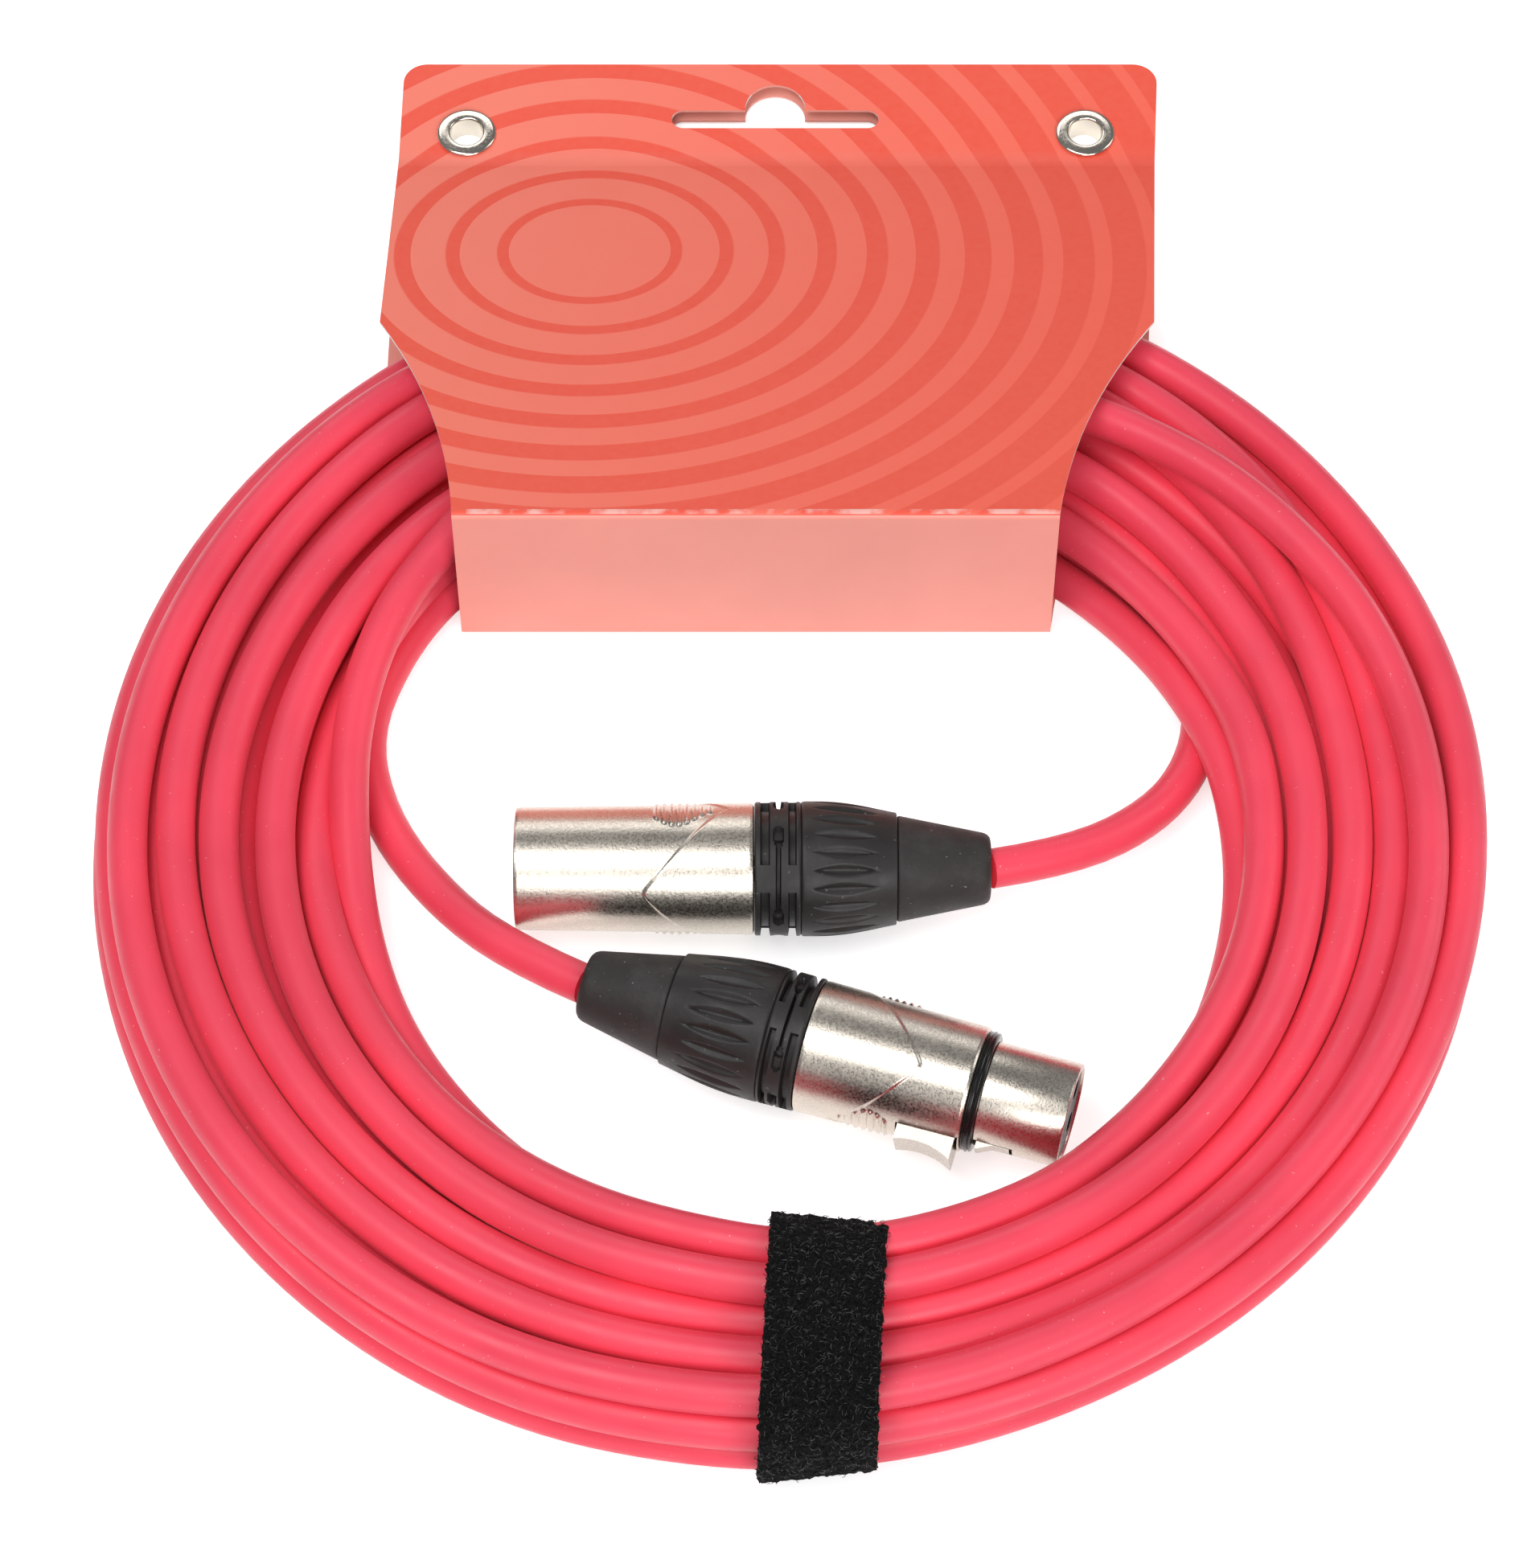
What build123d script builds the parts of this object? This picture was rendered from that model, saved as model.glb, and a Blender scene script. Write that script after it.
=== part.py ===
"""Microphone cable wound into a flat ring, with a connector on each end, a strap and a hanging card.

Units are millimetres. +Z is up, the table is Z = 0, +X is right and +Y points to the hanging
edge of the card. The origin is under the middle of the whole object.
"""
import os
from math import cos, pi, radians, sin, tan

from build123d import *

os.makedirs("parts", exist_ok=True)

# --------------------------------------------------------------- general fits
seat_gap = 0.05          # radial gap of a piece pressed or screwed into its seat
running_gap = 0.05       # radial gap of the latch on its pin
free_gap = 0.3           # gap between pieces that move past each other

# ---------------------------------------------------------------------- cable
cable_radius = 3.1

# ----------------------------------------------------------------------- coil
coil_radius = 107.4      # outer edge of the ring
card_lift = 1.5          # underside of the ring where it lies on the card's back panel
strap_gap = 0.6
strap_thickness = 1.2
strap_width = 16.6
strap_lift = strap_gap + strap_thickness + 0.1

# angle round the ring, inner radius, underside, top
coil_stations = [
    (0, 62.5, 0.4, 18.3),
    (30, 60.0, card_lift, 17.0),
    (60, 60.5, card_lift, 15.5),
    (90, 63.0, card_lift, 14.5),
    (120, 66.0, card_lift, 15.5),
    (150, 67.5, card_lift, 17.0),
    (180, 64.0, 0.4, 18.3),
    (210, 64.0, 0.6, 19.0),
    (240, 68.0, 1.2, 21.5),
    (270, 75.0, strap_lift, 24.3),
    (300, 76.0, 1.2, 21.5),
    (330, 71.0, 0.6, 19.0),
]

# ----------------------------------------------------------------------- card
card_thickness = 0.5
card_reach = 155.0       # coil centre to the card's hanging edge
card_fold = 40.0         # coil centre to the gusset
card_flat = 21.0         # depth of the flat strip that carries the eyelets
fold_height = 33.5       # top fold above the table
panel_gap = 2.2          # between the two panels at the eyelets
top_half_width = 64.5
corner_half_width = 62.8
corner_reach = 89.0      # coil centre to the corner where the sides start to narrow
fold_half_width = 47.0
top_middle_x = -0.5      # middle of the hanging edge
fold_middle_x = -4.7     # middle of the fold
waist_sag = 2.8          # how far the narrowing side is drawn in from a straight line
card_corner_radius = 4.0
bend_radius = 0.8
card_flare = 12.0        # where the flat strip bends into the slope

eyelet_half_spacing = 52.5
eyelet_reach = 139.7
eyelet_bore = 2.8
eyelet_wall = 0.35
eyelet_flange_radius = 5.0
eyelet_flange_height = 0.7

slot_half_length = 17.6
slot_height = 3.9
slot_reach = 141.0       # coil centre to the straight edge of the hanging slot
dome_radius = 5.1
dome_rise = 4.3          # dome centre above the slot's straight edge

card_base = eyelet_flange_height                      # underside of the back panel
back_panel_z = card_base + card_thickness / 2
front_panel_z = card_base + card_thickness * 1.5 + panel_gap

# ---------------------------------------------------------------------- strap
strap_x = 5.1
tail_free_angle = 152.0  # where the free end of the strap stops, round from the outer side

# ------------------------------------------------------- connectors, in common
shell_bore = 8.2
nut_bore = 6.6
nut_spigot_radius = 8.6
collar_radius = 10.3
shell_rear_radius = 10.1
insert_radius = shell_bore - seat_gap
contact_circle = 4.1     # radius on which the three contacts stand
pin_radius = 1.19
socket_wall = 0.28
cup_radius = 1.6
cup_bore = 1.1
cup_depth = 3.5
core_radius = 0.75
core_bundle = 1.3        # radius on which the cores leave the jacket
chuck_radius = 6.3
chuck_slit = 1.0
flute_count = 22
flute_radius = 1.3
flute_length = 9.6
slit_height = 1.0
boot_tip_radius = 5.35
boot_root_radius = 8.1
connector_height = 10.5  # axis above the table

# ------------------------------------------------------------- male connector
male_shell_length = 36.5
male_front_radius = 9.38
male_mouth_depth = 14.0
male_insert_length = 11.0
male_ring_end = male_shell_length + 7.2
male_nut_end = male_ring_end + 14.6
male_boot_end = male_nut_end + 14.4
pin_recess = 2.0
male_front = (-41.4, -9.9)
male_heading = 0.0

# ----------------------------------------------------------- female connector
nose_radius = 7.95
nose_bore = 7.1
nose_length = 13.0
gasket_width = 1.7
gasket_radius = 9.3
female_body_radius = 9.65
female_shell_length = 40.5
female_insert_length = 29.5
female_ring_end = female_shell_length + 5.7
female_nut_end = female_ring_end + 15.8
female_boot_end = female_nut_end + 14.1
female_front = (42.3, -52.8)
female_heading = 162.8
latch_droop = 15.0       # how far the latch side is rolled below level

# ---------------------------------------------------------------------- latch
latch_pivot = 27.0       # behind the nose face
latch_pivot_radius = 5.1
latch_pin_radius = 0.75
latch_half_width = 2.4
latch_floor = 5.2        # underside of the lever, from the axis
latch_plate = 1.1
latch_front = 7.4
hook_front = 10.0
hook_back = 12.4
hook_height = 8.9
hook_half_width = 1.5
tab_front = 15.4
tab_back = 24.2
tab_half_width = 3.8
tab_height = 12.1
tab_gap = 0.4            # in front of the tab, which tips forwards as it is pressed
tab_well_floor = 4.3     # under the pressed tab, from the axis
spring_place = 19.0

# --------------------------------------------------------------------- frames
tail_gap = strap_gap + strap_thickness + free_gap
coil_y = (coil_radius + tail_gap + strap_thickness - card_reach) / 2


def at_coil(x, y, z):
    """A point given from the middle of the coil."""
    return (x, y + coil_y, z)


def connector_frame(front, heading, droop):
    """Axis of a connector, from its front face to the rear, and its two working planes.

    side: x runs rearwards and y runs out towards the key or latch.
    top:  x runs rearwards and the plane's normal points to the key or latch.
    """
    rear = Vector(cos(radians(heading)), sin(radians(heading)), 0)
    level = Vector(0, 0, 1).cross(rear)
    key = level * cos(radians(droop)) - Vector(0, 0, 1) * sin(radians(droop))
    origin = Vector(*at_coil(*front, connector_height))
    side = Plane(origin=origin, x_dir=rear, z_dir=rear.cross(key))
    top = Plane(origin=origin, x_dir=rear, z_dir=key)
    across = Plane(origin=origin, x_dir=key, z_dir=rear)
    return Axis(origin, rear), side, top, across


male_axis, male_side, male_top, male_across = connector_frame(male_front, male_heading, -90)
female_axis, female_side, female_top, female_across = connector_frame(
    female_front, female_heading, latch_droop)


def save(piece, name):
    piece.part.label = name
    export_step(piece.part, f"parts/{name}.step")


# ----------------------------------------------------------------------- coil
def coil_section_plane(angle):
    """Upright plane through the coil's middle: x runs outwards, y runs up."""
    outwards = Vector(cos(radians(angle)), sin(radians(angle)), 0)
    return Plane(origin=at_coil(0, 0, 0), x_dir=outwards, z_dir=outwards.cross(Vector(0, 0, 1)))


def coil_half(stations):
    """Half of the wound ring, lofted through its oval sections."""
    with BuildPart() as half:
        for angle, inner, bottom, top in stations:
            with BuildSketch(coil_section_plane(angle)):
                with Locations(((inner + coil_radius) / 2, (bottom + top) / 2)):
                    Ellipse((coil_radius - inner) / 2, (top - bottom) / 2)
        loft()
    return half.part


back_half = coil_half(coil_stations[:7])
front_half = coil_half(coil_stations[6:] + coil_stations[:1])
with BuildPart() as cable_coil:
    add(back_half)
    add(front_half)
save(cable_coil, "cable_coil")


# ---------------------------------------------------------------- cable leads
def lead_corners(points):
    """Largest tangent arc that each corner's two runs leave room for."""
    radii = []
    for before, corner, after in zip(points, points[1:], points[2:]):
        run_in = Vector(*corner) - Vector(*before)
        run_out = Vector(*after) - Vector(*corner)
        half_turn = radians(run_in.get_angle(run_out)) / 2
        radii.append(0.45 * min(run_in.length, run_out.length) / tan(half_turn))
    return radii


# Each route starts at the boot's end and finishes inside the wound ring.
male_lead_points = [
    at_coil(31.3, -9.9, connector_height),
    at_coil(44.5, -6.4, 9.0),
    at_coil(58.0, 3.2, 6.4),
    at_coil(70.0, 16.5, 4.6),
    at_coil(78.0, 32.0, 4.4),
]
female_lead_points = [
    at_coil(-30.4, -30.3, connector_height),
    at_coil(-42.8, -23.2, 9.4),
    at_coil(-54.4, -11.0, 7.6),
    at_coil(-63.2, 3.5, 6.0),
    at_coil(-69.0, 19.5, 5.6),
    at_coil(-71.6, 36.0, 6.0),
]

for name, points in (("cable_lead_male", male_lead_points), ("cable_lead_female", female_lead_points)):
    radii = lead_corners(points)
    print(name, "bend radii", [round(r, 1) for r in radii])
    with BuildPart() as lead:
        with BuildLine() as route:
            FilletPolyline(*points, radius=radii)
        path = route.wire()
        with BuildSketch(Plane(origin=path @ 0, z_dir=path % 0)):
            Circle(cable_radius)
        sweep(path=path)
    expected = path.length * pi * cable_radius ** 2
    print("  length", round(path.length, 1), "volume / (section x length)", round(lead.part.volume / expected, 4))
    save(lead, name)

# ----------------------------------------------------------------------- card
with BuildPart() as header_card:
    with BuildSketch(Plane.YZ.offset(-top_half_width * 1.2)):
        with BuildLine():
            folded = FilletPolyline(
                (coil_y + card_reach, front_panel_z),
                (coil_y + card_reach - card_flat, front_panel_z),
                (coil_y + card_fold, fold_height),
                (coil_y + card_fold, back_panel_z),
                (coil_y + card_reach, back_panel_z),
                radius=[card_flare, bend_radius, bend_radius],
            )
            offset(folded, card_thickness / 2, side=Side.BOTH)
        make_face()
    extrude(amount=top_half_width * 2.4)
    with BuildSketch() as outline:
        with BuildLine():
            y_fold = coil_y + card_fold - card_thickness
            y_corner = coil_y + corner_reach
            y_top = coil_y + card_reach
            corner_x = fold_middle_x + (top_middle_x - fold_middle_x) * (
                (corner_reach - card_fold) / (card_reach - card_fold))
            left = [(fold_middle_x - fold_half_width, y_fold),
                    (corner_x - corner_half_width, y_corner),
                    (top_middle_x - top_half_width, y_top)]
            right = [(fold_middle_x + fold_half_width, y_fold),
                     (corner_x + corner_half_width, y_corner),
                     (top_middle_x + top_half_width, y_top)]
            SagittaArc(left[0], left[1], -waist_sag)
            Line(left[1], left[2])
            Line(left[2], right[2])
            Line(right[2], right[1])
            SagittaArc(right[1], right[0], -waist_sag)
            Line(right[0], left[0])
        make_face()
        fillet(outline.vertices().group_by(Axis.Y)[-1], card_corner_radius)
    extrude(amount=fold_height + 5, mode=Mode.INTERSECT)
    with BuildSketch():
        with Locations((top_middle_x - 1.0, coil_y + slot_reach + slot_height / 2)):
            SlotOverall(2 * slot_half_length, slot_height)
        with Locations((top_middle_x - 1.0, coil_y + slot_reach + dome_rise)):
            Circle(dome_radius)
        with Locations((top_middle_x - 1.0, coil_y + slot_reach - dome_radius)):
            Rectangle(4 * dome_radius, 2 * dome_radius, mode=Mode.SUBTRACT)
        for sign in (-1, 1):
            with Locations((top_middle_x - 0.9 + sign * eyelet_half_spacing, coil_y + eyelet_reach)):
                Circle(eyelet_bore + eyelet_wall + seat_gap)
    extrude(amount=fold_height / 2, mode=Mode.SUBTRACT)
save(header_card, "header_card")

eyelet_top = front_panel_z + card_thickness / 2 + eyelet_flange_height
for name, sign in (("eyelet_left", -1), ("eyelet_right", 1)):
    x = top_middle_x - 0.9 + sign * eyelet_half_spacing
    with BuildPart() as eyelet:
        with BuildSketch(Plane(origin=(x, coil_y + eyelet_reach, 0), x_dir=(1, 0, 0), z_dir=(0, -1, 0))):
            barrel = eyelet_bore + eyelet_wall
            Polygon((eyelet_bore, 0), (barrel, 0), (barrel, eyelet_top), (eyelet_bore, eyelet_top), align=None)
            for base in (0, eyelet_top - eyelet_flange_height):
                with Locations(((barrel + eyelet_flange_radius) / 2 - 0.1, base + eyelet_flange_height / 2)):
                    SlotOverall(eyelet_flange_radius - barrel + 0.2, eyelet_flange_height - 0.02)
        revolve(axis=Axis((x, coil_y + eyelet_reach, 0), (0, 0, 1)))
    save(eyelet, name)

# ---------------------------------------------------------------------- strap
strap_station = coil_stations[9]
strap_half_width = (coil_radius - strap_station[1]) / 2
strap_half_height = (strap_station[3] - strap_station[2]) / 2
strap_centre_y = coil_y - (coil_radius + strap_station[1]) / 2
strap_centre_z = (strap_station[2] + strap_station[3]) / 2
strap_plane = Plane(origin=(strap_x - strap_width / 2, strap_centre_y, strap_centre_z),
                    x_dir=(0, 1, 0), z_dir=(1, 0, 0))


def strap_layer(inner_gap):
    """Oval loop of strap material, this far off the ring."""
    outer = inner_gap + strap_thickness
    Ellipse(strap_half_width + outer, strap_half_height + outer)
    Ellipse(strap_half_width + inner_gap, strap_half_height + inner_gap, mode=Mode.SUBTRACT)


with BuildPart() as strap_band:
    with BuildSketch(strap_plane):
        strap_layer(strap_gap)
    extrude(amount=strap_width)
save(strap_band, "strap_band")

with BuildPart() as strap_tail:
    with BuildSketch(strap_plane):
        strap_layer(tail_gap)
        reach = 3 * strap_half_width
        end = (reach * -cos(radians(tail_free_angle)), reach * sin(radians(tail_free_angle)))
        Polygon((0, 0), (-reach, 0), (-reach, reach), (end[0], reach), end, align=None, mode=Mode.INTERSECT)
    extrude(amount=strap_width)
save(strap_tail, "strap_tail")


# ------------------------------------------------- pieces both connectors have
def turned(side, axis, points):
    """Solid of revolution from (distance behind the front face, radius) points."""
    with BuildPart() as piece:
        with BuildSketch(side):
            Polygon(*points, align=None)
        revolve(axis=axis)
    return piece.part


def rear_set(prefix, side, axis, across, shell_end, ring_end, nut_end, boot_end):
    """Coding ring, nut, chuck, boot, jacket end and cores behind one connector's shell."""
    jacket_end = shell_end + 1.5
    spigot_start = shell_end - 5.0
    nut_start = ring_end + 0.1

    with BuildPart() as coding_ring:
        with BuildSketch(side):
            Polygon((shell_end + 0.1, nut_spigot_radius + seat_gap), (shell_end + 0.1, collar_radius - 0.1),
                    (ring_end, collar_radius), (ring_end, nut_spigot_radius + seat_gap), align=None)
        revolve(axis=axis)
        for row, turn in ((0.3, 0), (0.7, 30)):
            middle = shell_end + (ring_end - shell_end) * row
            with BuildSketch(across.offset(middle - slit_height / 2)):
                with PolarLocations(collar_radius, 6, start_angle=turn):
                    Rectangle(1.4, 8.0)
            extrude(amount=slit_height, mode=Mode.SUBTRACT)
    save(coding_ring, f"{prefix}_coding_ring")

    with BuildPart() as nut:
        with BuildSketch(side):
            Polygon((spigot_start, nut_bore), (spigot_start, nut_spigot_radius - seat_gap),
                    (nut_start, nut_spigot_radius - seat_gap), (nut_start, collar_radius + 0.1),
                    (nut_end, boot_root_radius + 0.2), (nut_end, cable_radius + 1.6),
                    (nut_end - 2.0, cable_radius + 1.6), (nut_end - 7.0, nut_bore), align=None)
        revolve(axis=axis)
        with BuildSketch(across.offset(nut_start + 1.5)):
            with PolarLocations(collar_radius + 0.75, flute_count):
                Circle(flute_radius)
        extrude(amount=flute_length, mode=Mode.SUBTRACT)
    save(nut, f"{prefix}_nut")

    with BuildPart() as chuck:
        with BuildSketch(side):
            Polygon((jacket_end - 1, cable_radius + seat_gap), (jacket_end - 1, chuck_radius),
                    (nut_end - 7.4, chuck_radius), (nut_end - 4.0, cable_radius + 1.9),
                    (nut_end - 4.0, cable_radius + seat_gap), align=None)
        revolve(axis=axis)
        with BuildSketch(across.offset(jacket_end + 3)):
            Rectangle(3 * chuck_radius, chuck_slit)
            Rectangle(chuck_slit, 3 * chuck_radius)
        extrude(amount=nut_end, mode=Mode.SUBTRACT)
    save(chuck, f"{prefix}_chuck")

    with BuildPart() as boot:
        with BuildSketch(side):
            Polygon((nut_end - 1.5, cable_radius + seat_gap), (nut_end - 1.5, cable_radius + 1.5),
                    (nut_end + 0.05, cable_radius + 1.5), (nut_end + 0.05, boot_root_radius),
                    (boot_end - 1.2, boot_tip_radius), (boot_end, boot_tip_radius - 1.2),
                    (boot_end, cable_radius + seat_gap), align=None)
        revolve(axis=axis)
    save(boot, f"{prefix}_boot")

    with BuildPart() as cable_end:
        with BuildSketch(across.offset(jacket_end)):
            Circle(cable_radius)
        extrude(amount=boot_end - jacket_end)
    save(cable_end, f"{prefix}_cable_end")
    return jacket_end


def contact_places(hand):
    """Directions of the three contacts, in degrees round from the key."""
    return {1: hand * 90, 2: -hand * 90, 3: 180}


def contact_offset(angle, radius):
    return (radius * cos(radians(angle)), radius * sin(radians(angle)))


def cores(prefix, across, hand, cup_end, jacket_end):
    """Three stripped cores from the jacket's end into the solder cups."""
    with BuildPart() as wires:
        for angle in contact_places(hand).values():
            near = contact_offset(angle, contact_circle)
            far = contact_offset(angle, core_bundle)
            places = [(*near, cup_end - cup_depth + 0.2), (*near, cup_end + 0.8),
                      (*far, jacket_end - 1.2), (*far, jacket_end)]
            with BuildLine() as run:
                FilletPolyline(*[across.from_local_coords(place) for place in places], radius=1.2)
            path = run.wire()
            with BuildSketch(Plane(origin=path @ 0, z_dir=path % 0)):
                Circle(core_radius)
            sweep(path=path)
    save(wires, f"{prefix}_cores")


# ------------------------------------------------------------- male connector
male_insert_start = male_mouth_depth
male_insert_end = male_insert_start + male_insert_length
with BuildPart() as male_shell:
    with BuildSketch(male_side):
        Polygon((0.4, shell_bore), (0, shell_bore + 0.4), (0, male_front_radius - 0.4), (0.4, male_front_radius),
                (male_shell_length, shell_rear_radius), (male_shell_length, nut_spigot_radius),
                (male_insert_end + 3.0, nut_spigot_radius), (male_insert_end + 3.0, shell_bore), align=None)
    revolve(axis=male_axis)
    with BuildSketch(male_top.offset(shell_bore - 1)):
        with Locations((male_mouth_depth / 2, 0)):
            Rectangle(male_mouth_depth, 6.0)
    extrude(amount=1.5, mode=Mode.SUBTRACT)
save(male_shell, "male_shell")

with BuildPart() as male_insert:
    with BuildSketch(male_across.offset(male_insert_start)):
        Circle(insert_radius)
        for angle in contact_places(1).values():
            with Locations(contact_offset(angle, contact_circle)):
                Circle(pin_radius + seat_gap, mode=Mode.SUBTRACT)
    extrude(amount=male_insert_length)
    with BuildSketch(male_top.offset(insert_radius - 0.8)):
        with Locations(((male_insert_start + male_insert_end) / 2, 0)):
            Rectangle(8.4, 4.4)
    extrude(amount=2, mode=Mode.SUBTRACT)
save(male_insert, "male_insert")

male_cup_end = male_insert_end + 5.0
for number, angle in contact_places(1).items():
    pin_axis_plane = Plane(origin=male_across.from_local_coords((*contact_offset(angle, contact_circle), 0)),
                           x_dir=male_axis.direction, z_dir=male_side.z_dir)
    with BuildPart() as pin:
        with BuildSketch(pin_axis_plane):
            Polygon((pin_recess, 0), (pin_recess, pin_radius - 0.7), (pin_recess + 0.7, pin_radius),
                    (male_insert_end + 0.1, pin_radius), (male_insert_end + 0.1, cup_radius),
                    (male_cup_end, cup_radius), (male_cup_end, cup_bore),
                    (male_cup_end - cup_depth, cup_bore), (male_cup_end - cup_depth, 0), align=None)
        revolve(axis=Axis(pin_axis_plane.origin, male_axis.direction))
    save(pin, f"male_pin_{number}")

with BuildPart() as male_ground_clip:
    with BuildSketch(male_side):
        clip_middle = (male_insert_start + male_insert_end) / 2
        clip_base = insert_radius - 0.8 + seat_gap
        with BuildLine():
            Polyline((clip_middle - 4, clip_base), (clip_middle + 4, clip_base), (clip_middle + 4, clip_base + 0.3),
                     (clip_middle + 2.5, clip_base + 0.3))
            ThreePointArc((clip_middle + 2.5, clip_base + 0.3), (clip_middle, clip_base + 0.5),
                          (clip_middle - 2.5, clip_base + 0.3))
            Polyline((clip_middle - 2.5, clip_base + 0.3), (clip_middle - 4, clip_base + 0.3),
                     (clip_middle - 4, clip_base))
        make_face()
    extrude(amount=2.0, both=True)
save(male_ground_clip, "male_ground_clip")

male_jacket_end = rear_set("male", male_side, male_axis, male_across,
                           male_shell_length, male_ring_end, male_nut_end, male_boot_end)
cores("male", male_across, 1, male_cup_end, male_jacket_end)

# ----------------------------------------------------------- female connector
gasket_end = nose_length + gasket_width
window_front = tab_front - tab_gap
window_back = tab_back + free_gap
with BuildPart() as female_shell:
    with BuildSketch(female_side):
        Polygon((0, nose_bore), (0, nose_radius - 0.3), (0.3, nose_radius), (nose_length, nose_radius),
                (nose_length, nose_radius - 0.4), (gasket_end, nose_radius - 0.4),
                (gasket_end, female_body_radius - 0.5), (gasket_end + 0.5, female_body_radius),
                (female_shell_length, shell_rear_radius), (female_shell_length, nut_spigot_radius),
                (female_shell_length - 9, nut_spigot_radius), (female_shell_length - 9, nose_bore), align=None)
    revolve(axis=female_axis)
    with BuildSketch(female_top):
        with Locations(((latch_front - 0.5 + nose_length - 0.1) / 2, 0)):
            Rectangle(nose_length - 0.1 - latch_front + 0.5, 2 * (hook_half_width + free_gap))
        with Locations(((window_front + window_back) / 2, 0)):
            Rectangle(window_back - window_front, 2 * (tab_half_width + free_gap))
    extrude(amount=2 * female_body_radius, mode=Mode.SUBTRACT)
save(female_shell, "female_shell")

female_cup_end = female_insert_length + 5.0
groove_floor = 3.2
with BuildPart() as female_insert:
    with BuildSketch(female_across.offset(0.4)):
        Circle(nose_bore - seat_gap)
        for angle in contact_places(-1).values():
            with Locations(contact_offset(angle, contact_circle)):
                Circle(pin_radius + socket_wall + 2 * seat_gap, mode=Mode.SUBTRACT)
    extrude(amount=female_insert_length - 0.4)
    with BuildSketch(female_top.offset(groove_floor)):
        with Locations(((latch_front - 1 + female_insert_length) / 2, 0)):
            Rectangle(female_insert_length - latch_front + 1.01, 2 * (latch_half_width + free_gap))
    extrude(amount=nose_bore, mode=Mode.SUBTRACT)
    with BuildSketch(female_top.offset(tab_well_floor)):
        with Locations(((window_front + window_back) / 2, 0)):
            Rectangle(window_back - window_front, 2 * (tab_half_width + free_gap))
    extrude(amount=nose_bore, mode=Mode.SUBTRACT)
    with BuildSketch(female_side):
        with Locations((latch_pivot, latch_pivot_radius)):
            Circle(latch_pin_radius + 0.02)
    extrude(amount=nose_bore, both=True, mode=Mode.SUBTRACT)
    with BuildSketch(female_top.offset(groove_floor - 1.6)):
        with Locations((spring_place, 0)):
            Circle(2.0)
    extrude(amount=1.7, mode=Mode.SUBTRACT)
save(female_insert, "female_insert")

for number, angle in contact_places(-1).items():
    contact_plane = Plane(origin=female_across.from_local_coords((*contact_offset(angle, contact_circle), 0)),
                          x_dir=female_axis.direction, z_dir=female_side.z_dir)
    socket_radius = pin_radius + socket_wall + seat_gap
    with BuildPart() as contact:
        with BuildSketch(contact_plane):
            Polygon((1.2, pin_radius + seat_gap), (1.2, socket_radius), (female_insert_length + 0.1, socket_radius),
                    (female_insert_length + 0.1, cup_radius + 0.1), (female_cup_end, cup_radius + 0.1),
                    (female_cup_end, cup_bore), (female_cup_end - cup_depth, cup_bore),
                    (female_cup_end - cup_depth, 0), (14.0, 0), (14.0, pin_radius + seat_gap), align=None)
        revolve(axis=Axis(contact_plane.origin, female_axis.direction))
    save(contact, f"female_contact_{number}")

with BuildPart() as female_gasket:
    with BuildSketch(female_side):
        with BuildLine():
            Polyline((nose_length + 0.05, gasket_radius - 0.5), (nose_length + 0.05, nose_radius - 0.4 + seat_gap),
                     (gasket_end - 0.05, nose_radius - 0.4 + seat_gap), (gasket_end - 0.05, gasket_radius - 0.5))
            ThreePointArc((gasket_end - 0.05, gasket_radius - 0.5), (nose_length + gasket_width / 2, gasket_radius),
                          (nose_length + 0.05, gasket_radius - 0.5))
        make_face()
    revolve(axis=female_axis)
save(female_gasket, "female_gasket")

plate_top = latch_floor + latch_plate
with BuildPart() as female_latch:
    with BuildSketch(female_side):
        Polygon((hook_front - 1, latch_floor), (latch_pivot, latch_floor), (latch_pivot, plate_top),
                (hook_front - 1, plate_top), align=None)
        with Locations((latch_pivot, latch_pivot_radius)):
            Circle(1.35)
            Circle(latch_pin_radius + running_gap, mode=Mode.SUBTRACT)
    extrude(amount=latch_half_width, both=True)
    with BuildSketch(female_side):
        with BuildLine():
            Polyline((latch_front, latch_floor + 0.9), (latch_front, nose_radius - 0.1),
                     (hook_front, nose_radius - 0.1), (hook_back - 0.3, hook_height),
                     (hook_back, hook_height), (hook_back, latch_floor), (hook_front - 1, latch_floor),
                     (latch_front, latch_floor + 0.9))
        make_face()
    extrude(amount=hook_half_width, both=True)
    with BuildSketch(female_side):
        with BuildLine():
            Polyline((tab_back, tab_height - 0.9), (tab_back, plate_top - 0.6), (tab_front, plate_top - 0.6),
                     (tab_front, tab_height))
            ThreePointArc((tab_front, tab_height), ((tab_front + tab_back) / 2, tab_height - 1.4),
                          (tab_back, tab_height - 0.9))
        make_face()
    extrude(amount=tab_half_width, both=True)
save(female_latch, "female_latch")

with BuildPart() as female_latch_pin:
    with BuildSketch(female_side):
        with Locations((latch_pivot, latch_pivot_radius)):
            Circle(latch_pin_radius)
    extrude(amount=3.9, both=True)
save(female_latch_pin, "female_latch_pin")

with BuildPart() as female_latch_spring:
    spring_base = female_top.offset(groove_floor - 0.75)
    spring_origin = spring_base.from_local_coords((spring_place, 0, 0))
    with BuildLine() as winding:
        Helix(pitch=0.72, height=2.16, radius=1.25, center=spring_origin, direction=female_top.z_dir)
    coils = winding.wire()
    with BuildSketch(Plane(origin=coils @ 0, z_dir=coils % 0)):
        Circle(0.22)
    sweep(path=coils, is_frenet=True)
save(female_latch_spring, "female_latch_spring")

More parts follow.
